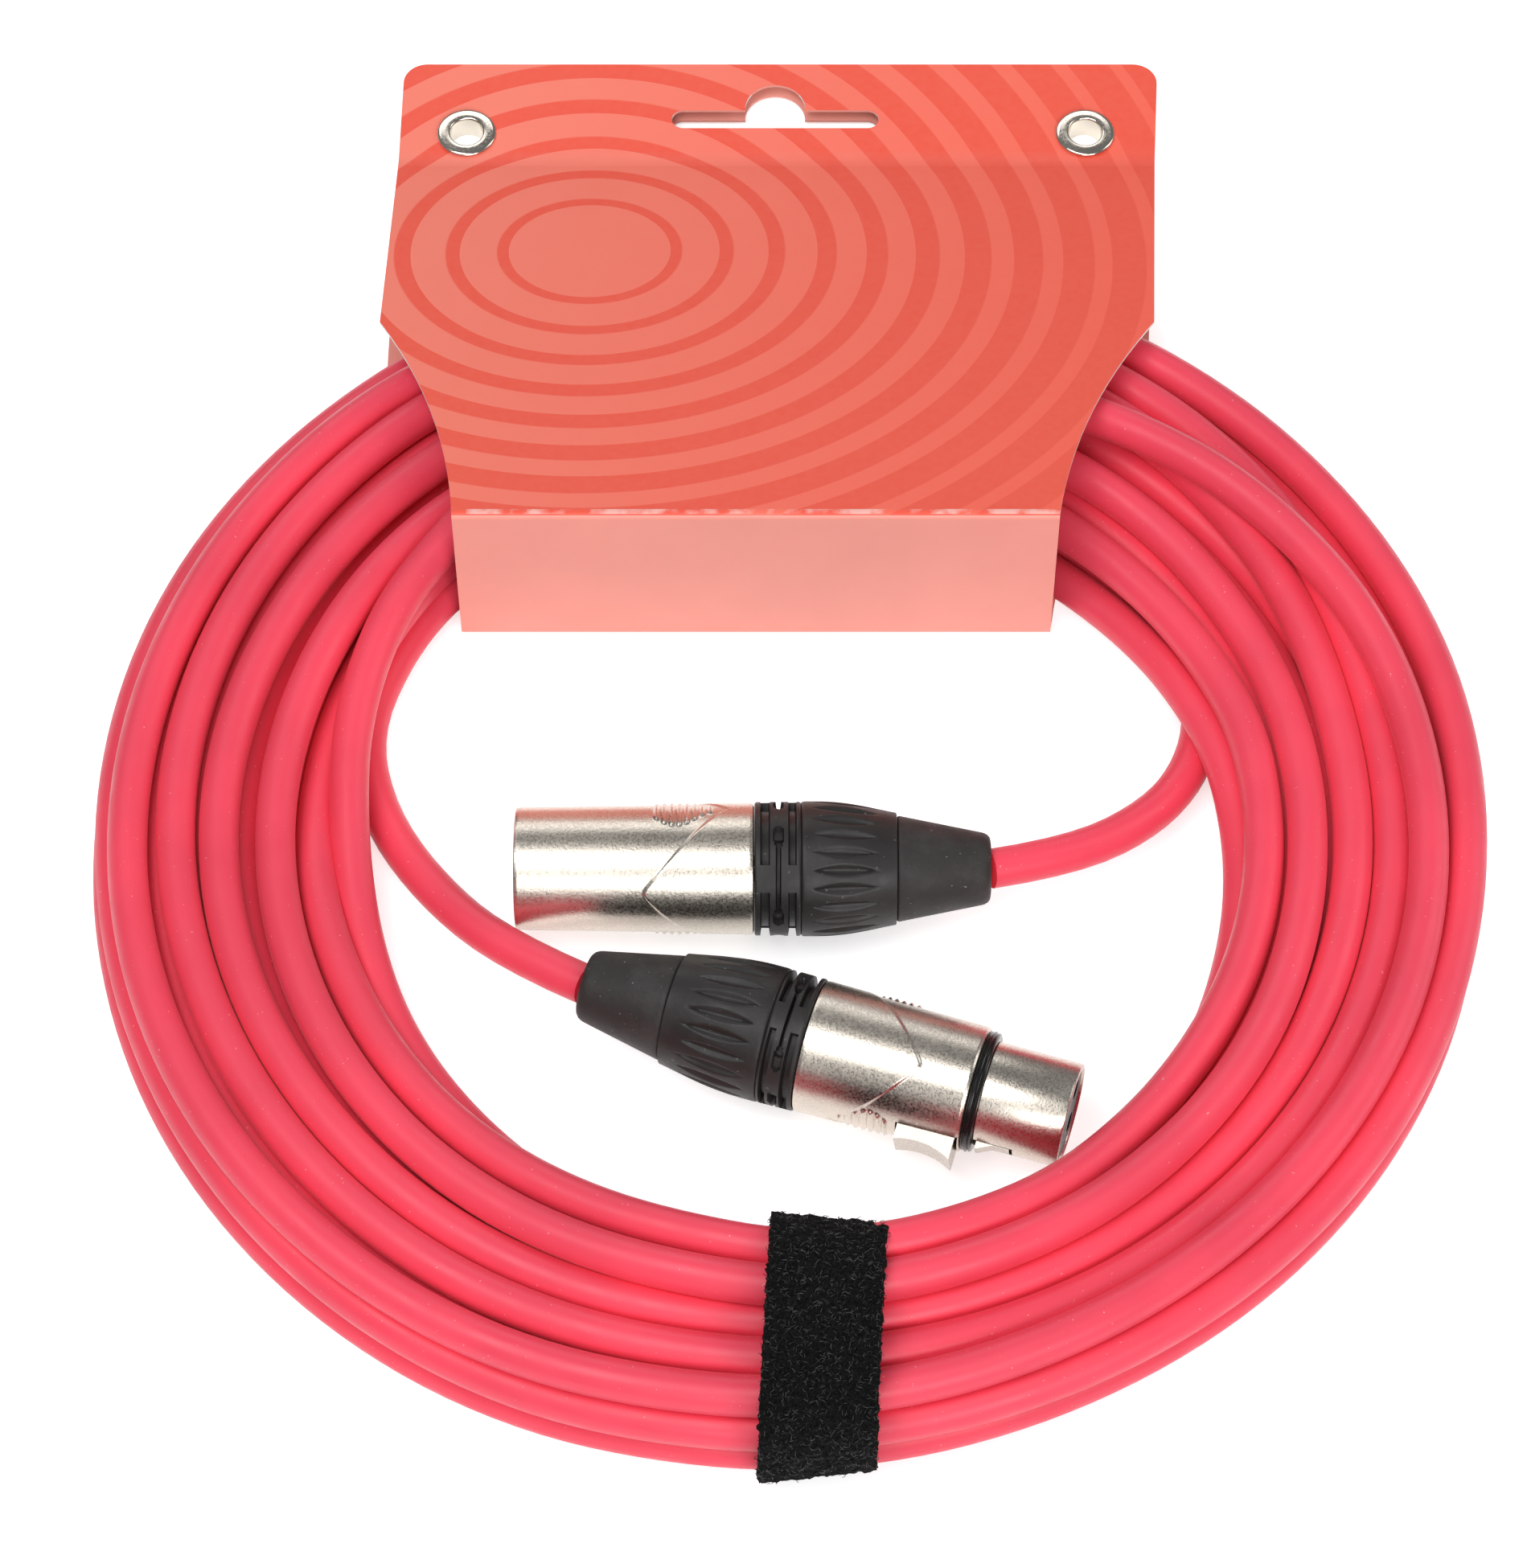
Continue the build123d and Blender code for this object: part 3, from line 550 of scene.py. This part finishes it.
# ---------------------------------------------------------------- connectors
def contour(apex_angle, apex, height):
    """Step that runs forwards to a rounded point on each flank; the shell is raised behind it."""
    def raised(s, angle):
        away = abs((angle - apex_angle + 90) % 180 - 90)
        edge = apex + 0.147 * (math.sqrt(away * away + 16) - 4)
        return height * float(smooth((s - edge) / 0.32 + 0.5))
    return raised


def grip_ribs(first, last, middle, height, count=8):
    def rib(s, angle):
        away = abs((angle - middle + 90) % 180 - 90)
        along = (s - first) / (last - first)
        if not 0 <= along <= 1:
            return 0.0
        reach = 10 + 16 * math.sin(math.pi * min(1, along + 0.12))
        wave = 0.5 - 0.5 * math.cos(2 * math.pi * along * count)
        return height * wave * float(smooth((reach - away) / 4))
    return rib


def shell_relief(outside, *parts):
    """Relief for the outside of a shell only: outside(s) is its radius."""
    def relief(s, radius, angle):
        if radius < outside(s) - 0.35:
            return 0.0
        return sum(part(s, angle) for part in parts)
    return relief


def male_shell(place, look, material):
    raised = contour(54, 19.8, look.relief / MM)
    ribs = grip_ribs(21.0, 30.4, -36, 0.4)
    relief = shell_relief(lambda s: 9.38 + 0.72 * s / 36.5, raised, ribs)
    profile = [(0.5, 8.2), (0.1, 8.45), (0, 8.7), (0.0, 9.05), (0.15, 9.3), (0.5, 9.4), (35.9, 9.83), (36.3, 9.75),
               (36.5, 9.5), (36.5, 8.6), (28.0, 8.6), (28.0, 8.2)]
    bm = turned(profile, 300, 0.18, relief)
    piece = finish_mesh(bm, "male_barrel", material, place)
    return settle(piece, "root", "satin_nickel", "male_shell")


def female_shell(place, look, material):
    raised = contour(85, 22.7, look.relief / MM)
    ribs = grip_ribs(25.6, 33.6, 6, 0.4, 7)
    relief = shell_relief(lambda s: 7.95 if s < 14.6 else 9.7, raised, ribs)
    profile = [(0.35, 7.1), (0, 7.35), (0, 7.55), (0.12, 7.82), (0.45, 7.95), (12.9, 7.95), (13.0, 7.85),
               (13.0, 7.5), (14.7, 7.5), (14.7, 9.1), (14.85, 9.45), (15.2, 9.62), (39.9, 9.85), (40.3, 9.78),
               (40.5, 9.5), (40.5, 8.6), (31.5, 8.6), (31.5, 7.1)]
    bm = turned(profile, 300, 0.18, relief)
    piece = finish_mesh(bm, "female_barrel", material, place)
    cut(piece, [((6.9, -1.8, 4.0), (12.9, 1.8, 12.0)), ((15.0, -4.1, 4.0), (24.5, 4.1, 14.0))], place)
    return settle(piece, "root", "satin_nickel", "female_shell")


def sealing_ring(place, material):
    profile = [(13.05, 7.6), (13.05, 8.7), (13.2, 9.05), (13.4, 9.15), (13.55, 8.95), (13.65, 8.95), (13.8, 9.25),
               (14.0, 9.3), (14.15, 9.0), (14.25, 9.0), (14.4, 9.2), (14.6, 9.1), (14.65, 8.7), (14.65, 7.6)]
    piece = finish_mesh(turned(profile, 96), "sealing_ring", material, place, 60)
    return settle(piece, "root", "gasket_rubber", "female_gasket")


def slit_ring(name, node, place, start, end, spring_angle, material):
    """Black ring with three rows of slots: two rows of long slits and, between them, round-ended slots."""
    length = end - start

    def relief(s, radius, angle):
        if radius < 10.0:
            return 0.0
        along = (s - start) / length
        away = abs((angle - spring_angle + 60) % 120 - 60)
        depth = 0.0
        for row, reach in ((0.24, 0.60), (0.81, 0.45)):
            if abs(along - row) * length < reach and away > 12.5:
                depth = 1.5
        reach = 0.26 + 0.46 * float(smooth((away - 24) / 12)) - 0.5 * float(smooth((away - 44) / 4))
        if abs(along - 0.52) * length < reach and away < 48:
            depth = 1.5 if away < 36 else 0.8
        return -depth

    profile = [(start + 0.05, 8.65), (start + 0.05, 10.0), (start + 0.3, 10.22), (end - 0.3, 10.28),
               (end - 0.05, 10.1), (end - 0.05, 8.65)]
    piece = finish_mesh(turned(profile, 360, 0.22, relief), name, material, place, 50)
    return settle(piece, "root", "black_plastic", node)


def fluted_nut(name, node, place, start, end, look, material):
    """Barrel-shaped nut with lens-shaped finger flutes."""
    length = end - start
    pitch = 360 / look.flutes

    def outline(along):
        return 10.35 - 2.15 * float(smooth((along - 0.12) / 1.25)) ** 1.25 / 0.90

    def relief(s, radius, angle):
        along = (s - start) / length
        if radius < outline(along) - 0.6 or not 0.0 < along < 1.0:
            return 0.0
        middle = (along - 0.46) / 0.33
        if abs(middle) >= 1:
            return 0.0
        half_width = 0.40 * pitch * (1 - middle * middle)
        away = abs((angle + pitch / 2) % pitch - pitch / 2)
        press = float(smooth(1 - away / max(half_width, 0.01)))
        return -look.flute_depth / MM * press * (1 - middle * middle) ** 0.5

    shape = [(start + length * t, outline(t)) for t in [i / 24 for i in range(1, 24)]]
    profile = ([(start - 5.0, 6.6), (start - 5.0, 8.5), (start + 0.05, 8.5), (start + 0.05, 10.0),
                (start + 0.25, 10.3)] + shape +
               [(end - 0.1, outline(0.99)), (end, outline(1.0) - 0.2), (end, 4.8), (end - 2.0, 4.8),
                (end - 7.0, 6.6)])
    piece = finish_mesh(turned(profile, look.flutes * 16, 0.35, relief), name, material, place, 50)
    return settle(piece, "root", "black_plastic", node)


def rubber_boot(name, node, place, start, end, material):
    profile = [(start - 1.5, 3.2), (start - 1.5, 4.55), (start + 0.05, 4.55), (start + 0.05, 7.85), (start + 0.2, 8.05),
               (start + 0.5, 8.1), (end - 1.3, 5.58), (end - 0.9, 5.45), (end - 0.45, 5.2), (end - 0.12, 4.8),
               (end, 4.2), (end, 3.2)]
    piece = finish_mesh(turned(profile, 96, 0.6), name, material, place, 50)
    return settle(piece, "root", "boot_rubber", node)


class COIL_OT_connectors(bpy.types.Operator):
    """Build the outsides of both connectors: barrels, sealing ring, slit rings, fluted nuts and boots"""
    bl_idname = "coil.connectors"
    bl_label = "Connectors"

    def execute(self, context):
        look = settings("connector")
        male = connector_place(MALE_FRONT, MALE_HEADING, MALE_ROLL)
        female = connector_place(FEMALE_FRONT, FEMALE_HEADING, FEMALE_ROLL)
        nickel = nickel_material("satin_nickel_barrel", look.nickel, 0.30, 0.026)
        black = moulded_material("black_moulding", look.rubber, 0.46, 0.22)
        boot = moulded_material("boot_rubber", shade(look.rubber, 1.35), 0.58, 0.4, 0.05)
        seal = moulded_material("seal_rubber", (0.012, 0.012, 0.012), 0.16, 0.05, 0.01)
        male_shell(male, look, nickel)
        female_shell(female, look, nickel)
        sealing_ring(female, seal)
        slit_ring("male_slit_ring", "male_coding_ring", male, 36.5, 43.7, 40, black)
        slit_ring("female_slit_ring", "female_coding_ring", female, 40.5, 46.2, 95, black)
        fluted_nut("male_fluted_nut", "male_nut", male, 43.62, 58.3, look, black)
        fluted_nut("female_fluted_nut", "female_nut", female, 46.12, 62.0, look, black)
        rubber_boot("male_rubber_boot", "male_boot", male, 58.3, 72.7, boot)
        rubber_boot("female_rubber_boot", "female_boot", female, 62.0, 76.1, boot)
        return {"FINISHED"}


# --------------------------------------------------------------------- strap
def strap_sheet(first, last, gap, rows, width, seed):
    """Oval sheet round the ring from one angle to another, seen from the left: 0 is the outer side, 90 the top."""
    half_y = (RING_OUTER - STRAP_REACH) / 2 + gap - STRAP_TAKE_UP
    half_z = (STRAP_HIGH - STRAP_LOW) / 2 + gap
    centre = Vector((STRAP_X, -(RING_OUTER + STRAP_REACH) / 2 + COIL_Y - STRAP_OUTWARDS,
                     (STRAP_HIGH + STRAP_LOW) / 2))
    full = last - first >= 360
    turns = np.radians(np.linspace(first, last, 2001))
    path = np.stack((-half_y * np.sign(np.cos(turns)) * np.abs(np.cos(turns)) ** STRAP_SQUARENESS,
                     half_z * np.sign(np.sin(turns)) * np.abs(np.sin(turns)) ** STRAP_SQUARENESS))
    run = np.concatenate(([0.0], np.cumsum(np.hypot(*np.diff(path)))))
    steps = int(run[-1] / 0.38)
    bm = bmesh.new()
    rim = []
    for k in range(steps if full else steps + 1):
        at = run[-1] * k / steps
        rim.append(bm.verts.new((-width / 2, np.interp(at, run, path[0]), np.interp(at, run, path[1]))))
    edges = [bm.edges.new(pair) for pair in zip(rim, rim[1:])]
    if full:
        edges.append(bm.edges.new((rim[-1], rim[0])))
    for _ in range(rows):
        made = bmesh.ops.extrude_edge_only(bm, edges=edges)["geom"]
        bmesh.ops.translate(bm, vec=(width / rows, 0, 0),
                            verts=[g for g in made if isinstance(g, bmesh.types.BMVert)])
        edges = [g for g in made if isinstance(g, bmesh.types.BMEdge)]
    for v in bm.verts:
        along = v.co.x / width
        across = v.co.copy()
        lift = 0.12 * float(smooth(-across.y / half_y)) - 0.11 * float(smooth(across.y / half_y))
        v.co.y += lift * across.x
        v.co.x += STRAP_LEAN * v.co.y + 0.25 * noise.noise(Vector((seed, across.y * 0.6, across.z * 0.6)))
        if abs(along) > 0.49:
            v.co.x += 0.35 * noise.noise(Vector((seed + 9, across.y * 2.2, across.z * 2.2)))
        if not full:
            if math.hypot(across.y - path[0][-1], across.z - path[1][-1]) < 0.3:
                fray = 0.7 * noise.noise(Vector((across.x * 1.4, seed, 3.0)))
                v.co.y += fray
    bmesh.ops.translate(bm, vec=centre, verts=bm.verts)
    return bm


def with_thickness(piece, thickness, roughen):
    """Give a strap sheet its thickness and the uneven face of its pile."""
    solid = piece.modifiers.new("thickness", "SOLIDIFY")
    solid.thickness, solid.offset = thickness, 1.0
    bpy.context.view_layer.update()
    mesh = bpy.data.meshes.new_from_object(piece.evaluated_get(bpy.context.evaluated_depsgraph_get()))
    piece.modifiers.clear()
    piece.data = mesh
    normals = [v.normal.copy() for v in mesh.vertices]
    for v, normal in zip(mesh.vertices, normals):
        v.co += normal * roughen * (noise.noise(v.co / MM * 0.9) + 0.6 * noise.noise(v.co / MM * 2.1))
        v.co.z = max(v.co.z, 0.05 * MM)


def fibres(name, sheet, count, seed, material, longest):
    """Short curled fibres standing out of the outer face and the edges of a strap piece."""
    rng = random.Random(seed)
    template = bmesh.new()
    bmesh.ops.create_circle(template, cap_ends=False, segments=3, radius=0.060 * MM)
    edges = template.edges[:]
    lean = Matrix.Rotation(math.radians(26), 4, "X")
    for step in range(4):
        made = bmesh.ops.extrude_edge_only(template, edges=edges)["geom"]
        rim = [g for g in made if isinstance(g, bmesh.types.BMVert)]
        edges = [g for g in made if isinstance(g, bmesh.types.BMEdge)]
        stride = Matrix.Rotation(math.radians(26 * step), 3, "X") @ Vector((0, 0, 0.25 * MM))
        bmesh.ops.translate(template, vec=stride, verts=rim)
        centre = sum((v.co for v in rim), Vector()) / len(rim)
        bmesh.ops.rotate(template, cent=centre, matrix=lean.to_3x3(), verts=rim)
    bmesh.ops.contextual_create(template, geom=edges)
    fibre = bpy.data.meshes.new("fibre")
    template.to_mesh(fibre)
    template.free()
    bm = bmesh.new()
    faces = [face for face in sheet.data.polygons if face.center.z > 1.6 * MM]
    for _ in range(count):
        face = faces[rng.randrange(len(faces))]
        spin = Matrix.Rotation(rng.uniform(0, 2 * math.pi), 4, "Z")
        tilt = Matrix.Rotation(rng.uniform(0.1, 1.25), 4, "X")
        aim = face.normal.to_track_quat("Z", "Y").to_matrix().to_4x4()
        place = Matrix.Translation(face.center - face.normal * 0.00008) @ aim @ spin @ tilt
        size = rng.uniform(0.45, 1.0) * longest
        one = fibre.copy()
        one.transform(place @ Matrix.Diagonal((1, 1, size, 1)))
        bm.from_mesh(one)
        bpy.data.meshes.remove(one)
    mesh = bpy.data.meshes.new(name)
    bm.to_mesh(mesh)
    bm.free()
    bpy.data.meshes.remove(fibre)
    piece = bpy.data.objects.new(name, mesh)
    bpy.context.collection.objects.link(piece)
    mesh.materials.append(material)
    return piece


def eyelet(name, node, material):
    """Rolled eyelet through both panels of the card, with a domed rim on each side."""
    low, high = (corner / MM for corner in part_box(node))
    middle = (low + high) / 2
    top = high.z
    rim = [(0.02, 3.0), (0.0, 3.6), (0.05, 4.5), (0.22, 4.93), (0.42, 4.97), (0.6, 4.6), (0.66, 3.9), (0.68, 3.12)]
    profile = rim + [(top - s, r) for s, r in reversed(rim)] + [(top - 0.22, 2.82), (0.22, 2.82)]
    bm = turned(profile, 72, 0.3)
    upright = Matrix.Translation(Vector((middle.x, middle.y, 0)) * MM) @ Matrix.Rotation(-math.pi / 2, 4, "Y")
    return settle(finish_mesh(bm, name, material, upright, 75), "card", "eyelet_nickel", node)


class COIL_OT_strap(bpy.types.Operator):
    """Wrap the strap round the ring, with its free end lying over the top"""
    bl_idname = "coil.strap"
    bl_label = "Strap"

    def execute(self, context):
        strap = settings("strap")
        width = strap.width / MM
        pile, hair = pile_material(), fibre_material()
        for name, node, body, first, last, gap, thick, count in (
                ("strap_loop", "strap_band", "root", -180, 180, 0.75, 0.0010, 0.25),
                ("strap_end", "strap_tail", "tail", 0, 152, 2.15, 0.0011, 0.75)):
            bm = strap_sheet(first, last, gap, 40, width, strap.seed)
            piece = finish_mesh(bm, name, pile)
            with_thickness(piece, thick, 0.00042)
            settle(piece, body, "hook_and_loop", node)
            fuzz = fibres(name + "_fibres", piece, int(strap.fibres * count), strap.seed, hair, 0.95)
            settle(fuzz, body, "hook_and_loop")
        return {"FINISHED"}


# ------------------------------------------------------------- inner pieces
class COIL_OT_finishes(bpy.types.Operator):
    """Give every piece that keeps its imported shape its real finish"""
    bl_idname = "coil.finishes"
    bl_label = "Finishes"

    def execute(self, context):
        look = settings("connector")
        rim = nickel_material("eyelet_nickel", shade(look.nickel, 1.12), 0.14, 0.002)
        eyelet("eyelet_rim_left", "eyelet_left", rim)
        eyelet("eyelet_rim_right", "eyelet_right", rim)
        # The latch tab uses the shell nickel darkened to 0.8: painted shade on the tab.
        latch = nickel_material("shaded_latch_nickel", shade(look.nickel, 0.80), 0.30, 0.010)
        steel = nickel_material("spring_steel", (0.55, 0.54, 0.52), 0.3, 0.004)
        brass = brass_material()
        insert = moulded_material("insert_plastic", (0.018, 0.018, 0.019), 0.4, 0.1)
        chuck = moulded_material("chuck_plastic", (0.52, 0.51, 0.47), 0.45, 0.1)
        sleeve = moulded_material("core_sleeving", (0.55, 0.10, 0.08), 0.45, 0.1)
        jacket = jacket_material(settings("cable"))
        looks = {
            "female_latch": latch, "female_latch_pin": steel, "female_latch_spring": steel,
            "male_ground_clip": steel,
            "male_insert": insert, "female_insert": insert, "male_chuck": chuck, "female_chuck": chuck,
            "male_cores": sleeve, "female_cores": sleeve,
            "male_cable_end": jacket, "female_cable_end": jacket,
            "header_card": card_material(settings("card")),
        }
        for number in (1, 2, 3):
            looks[f"male_pin_{number}"] = looks[f"female_contact_{number}"] = brass
        for name, material in looks.items():
            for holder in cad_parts[name].material_slots:
                holder.material = material
        return {"FINISHED"}


# --------------------------------------------------------------------- stage
def area_light(context, name, place, target, size, power):
    data = bpy.data.lights.new(name, "AREA")
    data.shape, data.size, data.size_y, data.energy = "RECTANGLE", size[0], size[1], power
    lamp = bpy.data.objects.new(name, data)
    lamp.location = place
    lamp.rotation_euler = (Vector(target) - Vector(place)).to_track_quat("-Z", "Y").to_euler()
    context.collection.objects.link(lamp)


class COIL_OT_stage(bpy.types.Operator):
    """Set up the floor, the lamps, the surroundings and the camera"""
    bl_idname = "coil.stage"
    bl_label = "Stage"

    def execute(self, context):
        stage = settings("stage")
        scene = context.scene
        bm = bmesh.new()
        bmesh.ops.create_grid(bm, x_segments=1, y_segments=1, size=4000)
        bmesh.ops.translate(bm, vec=(0, 0, -0.02), verts=bm.verts)
        s = Shader("floor", Roughness=0.9)
        s.link(s.mix(s.noise(3.0, 2.0), (0.86, 0.86, 0.86), (0.88, 0.88, 0.88)), "Base Color")
        path = s.tree.nodes.new("ShaderNodeLightPath")
        seen = s.maths("MAXIMUM", path.outputs["Is Camera Ray"],
                       s.maths("MAXIMUM", path.outputs["Is Glossy Ray"], path.outputs["Is Transmission Ray"]))
        s.bsdf.inputs["Emission Color"].default_value = (1, 1, 1, 1)
        s.link(s.maths("MULTIPLY", seen, 0.60), "Emission Strength")
        finish_mesh(bm, "floor", s.material)
        world = bpy.data.worlds.new("surroundings")
        world.use_nodes = True
        world.node_tree.nodes["Background"].inputs[0].default_value = (0.95, 0.97, 1.0, 1)
        world.node_tree.nodes["Background"].inputs[1].default_value = 0.19
        scene.world = world
        area_light(context, "key", (-0.35, -0.30, 1.25), (0, 0, 0), (0.9, 0.7), 9.0)
        area_light(context, "front", (0.30, -1.15, 0.75), (0, -0.02, 0), (1.0, 0.6), 9.5)
        area_light(context, "right", (1.0, 0.25, 0.70), (0, 0, 0), (0.5, 0.9), 2.6)
        area_light(context, "back", (-0.2, 1.05, 0.75), (0, 0, 0), (1.0, 0.5), 2.6)
        data = bpy.data.cameras.new("camera")
        data.sensor_fit, data.sensor_width, data.lens = "HORIZONTAL", 36.0, stage.lens
        data.clip_start, data.clip_end = 0.01, 20
        camera = bpy.data.objects.new("camera", data)
        target = Vector((-0.003157, -0.01643, 0.010))
        away = Vector((0, -math.cos(stage.elevation), math.sin(stage.elevation)))
        camera.location = target + away * stage.distance
        camera.rotation_euler = (math.pi / 2 - stage.elevation, 0, 0)
        context.collection.objects.link(camera)
        scene.camera = camera
        scene.view_settings.view_transform = "Standard"
        return {"FINISHED"}


class COIL_PT_panel(bpy.types.Panel):
    bl_label = "Cable coil"
    bl_idname = "COIL_PT_panel"
    bl_space_type = "VIEW_3D"
    bl_region_type = "UI"
    bl_category = "Cable coil"

    def draw(self, context):
        for operator in OPERATORS:
            self.layout.operator(operator.bl_idname)
        for name in GROUPS:
            box = self.layout.box()
            box.label(text=name.capitalize())
            group = settings(name)
            for key in group.__annotations__:
                box.prop(group, key)


GROUPS = {"cable": CableSettings, "connector": ConnectorSettings, "card": CardSettings,
          "strap": StrapSettings, "stage": StageSettings}
OPERATORS = (COIL_OT_connectors, COIL_OT_finishes, COIL_OT_strap, COIL_OT_cable, COIL_OT_stage)


def register():
    for made in (*GROUPS.values(), *OPERATORS, COIL_PT_panel):
        bpy.utils.register_class(made)
    for name, group in GROUPS.items():
        setattr(bpy.types.Scene, "coil_" + name, PointerProperty(type=group))


def unregister():
    for name in GROUPS:
        delattr(bpy.types.Scene, "coil_" + name)
    for made in reversed((*GROUPS.values(), *OPERATORS, COIL_PT_panel)):
        bpy.utils.unregister_class(made)


def main():
    register()
    bpy.ops.coil.connectors()
    bpy.ops.coil.finishes()
    bpy.ops.coil.strap()
    bpy.ops.coil.cable()
    bpy.ops.coil.stage()


if __name__ == "__main__":
    main()
